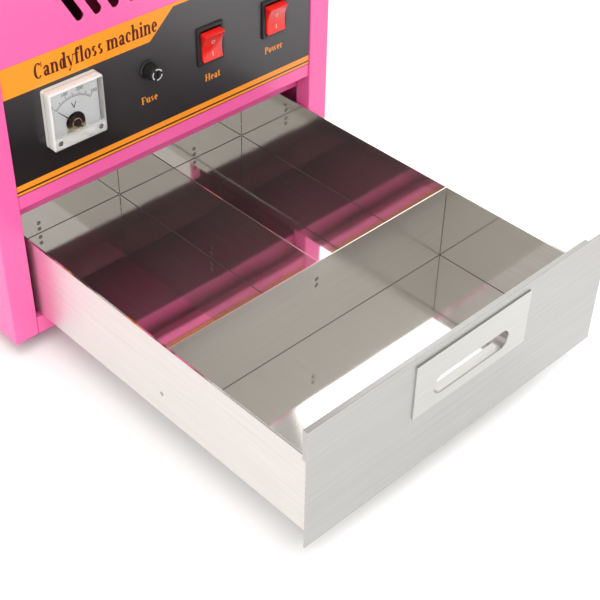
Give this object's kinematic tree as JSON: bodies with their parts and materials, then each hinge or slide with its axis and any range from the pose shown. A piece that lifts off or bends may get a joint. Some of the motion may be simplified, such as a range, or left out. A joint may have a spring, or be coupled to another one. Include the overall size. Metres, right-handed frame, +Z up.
{
  "type": "cotton candy machine",
  "caption": "Table-top cotton candy machine: folded steel cabinet with control panel and divided storage drawer, heated spinner head and lift-off spun steel bowl.",
  "frame": {"origin": "on the table under the middle of the machine's footprint with its drawer drawn out as at rest", "axes": "+Z up, +X to the operator's right when facing the control panel, -Y towards the operator, the way the drawer pulls out"},
  "size_m": [0.5205, 0.7444, 0.4972],
  "materials": {
    "pink_paint": "semi-gloss powder coat",
    "overlay_print": "printed polyester film, semi-gloss",
    "mirror_steel": "polished stainless sheet",
    "satin_steel": "satin stainless sheet",
    "bowl_steel": "spun and polished stainless",
    "zinc_steel": "zinc-plated steel",
    "screw_zinc": "plated screws and nuts",
    "foot_rubber": "moulded black rubber",
    "gasket_rubber": "grey silicone rubber",
    "black_plastic": "moulded black",
    "red_rocker": "translucent red moulding",
    "clear_cover": "clear moulded cover",
    "dial_white": "printed white scale",
    "needle_black": "matt black",
    "terminal_brass": "plated brass",
    "fuse_glass": "glass tube fuse",
    "motor_paint": "black enamel",
    "stator_iron": "laminated iron and winding",
    "bright_steel": "ground steel",
    "brown_insulator": "phenolic insulator",
    "carbon": "carbon brush",
    "cream_plastic": "moulded cream plastic",
    "head_aluminium": "machined aluminium",
    "heater_metal": "heat-tinted sheathed element",
    "ceramic": "glazed ceramic"
  },
  "bodies": {
    "cabinet": {"back_panel": "pink_paint", "back_panel_screws": "screw_zinc", "base_pan": "pink_paint", "bowl_gasket": "gasket_rubber", "bracket_studs": "screw_zinc", "brush_holder": "brown_insulator", "cable_gland": "black_plastic", "capacitor_clip": "zinc_steel", "carbon_brushes": "carbon", "control_overlay": "overlay_print", "drawer_guides": "zinc_steel", "electronics_shelf": "pink_paint", "foot_screws": "screw_zinc", "front_panel": "pink_paint", "fuse_body": "black_plastic", "fuse_nut": "screw_zinc", "gland_nut": "black_plastic", "heat_switch_body": "black_plastic", "left_side_panel": "pink_paint", "meter_body": "black_plastic", "meter_cover": "clear_cover", "meter_dial": "dial_white", "meter_movement": "zinc_steel", "meter_screws": "screw_zinc", "meter_terminals": "terminal_brass", "motor_bearings": "bright_steel", "motor_bracket": "zinc_steel", "motor_can": "motor_paint", "motor_capacitor": "cream_plastic", "motor_stator": "stator_iron", "power_switch_body": "black_plastic", "right_side_panel": "pink_paint", "rubber_feet": "foot_rubber", "rubber_mounts": "foot_rubber", "switch_tabs": "terminal_brass", "terminal_block": "cream_plastic", "terminal_screws": "screw_zinc", "top_deck": "pink_paint"},
    "drawer": {"drawer_tray": "mirror_steel", "cross_divider": "mirror_steel", "long_divider": "mirror_steel", "drawer_front": "satin_steel", "handle_plate": "satin_steel"},
    "heat_rocker": {"heat_rocker": "red_rocker"},
    "power_rocker": {"power_rocker": "red_rocker"},
    "voltmeter_needle": {"meter_needle": "needle_black"},
    "fuse_holder_carrier": {"fuse_carrier": "black_plastic", "glass_fuse": "fuse_glass"},
    "fuse_holder_cap": {"fuse_cap": "black_plastic"},
    "spinner": {"drive_shaft": "bright_steel", "motor_rotor": "stator_iron", "ring_hub": "brown_insulator", "slip_rings": "terminal_brass", "head_base": "head_aluminium", "ceramic_posts": "ceramic", "heater_coil": "heater_metal", "head_band": "head_aluminium", "head_cap": "head_aluminium", "head_nut": "screw_zinc"},
    "bowl": {"bowl": "bowl_steel"}
  },
  "joints": [
    {"name": "drawer_slide", "type": "slide", "parent": "cabinet", "child": "drawer", "axis": [0, 1, 0], "range_m": [-0.03, 0.2865]},
    {"name": "heat_switch", "type": "hinge", "parent": "cabinet", "child": "heat_rocker", "pos_m": [0.0365, -0.08044, 0.195], "axis": [1, 0, 0], "range_deg": [-16, 0]},
    {"name": "power_switch", "type": "hinge", "parent": "cabinet", "child": "power_rocker", "pos_m": [0.1005, -0.08044, 0.195], "axis": [1, 0, 0], "range_deg": [-16, 0]},
    {"name": "needle_swing", "type": "hinge", "parent": "cabinet", "child": "voltmeter_needle", "pos_m": [-0.089, -0.08894, 0.181], "axis": [0, 1, 0], "range_deg": [0, 88], "stiffness_Nm_per_rad": 0.00002, "springref_deg": -17.19},
    {"name": "fuse_pull", "type": "slide", "parent": "cabinet", "child": "fuse_holder_carrier", "axis": [0, -1, 0], "range_m": [0, 0.035]},
    {"name": "fuse_cap_turn", "type": "hinge", "parent": "fuse_holder_carrier", "child": "fuse_holder_cap", "pos_m": [-0.0215, -0.08424, 0.195], "axis": [0, 1, 0], "range_deg": [-90, 0]},
    {"name": "spinner_turn", "type": "hinge", "parent": "cabinet", "child": "spinner", "pos_m": [0, 0.11196, 0.3452], "axis": [0, 0, 1], "continuous": true},
    {"name": "bowl_lift", "type": "slide", "parent": "cabinet", "child": "bowl", "axis": [0, 0, 1], "range_m": [0, 0.2]}
  ]
}
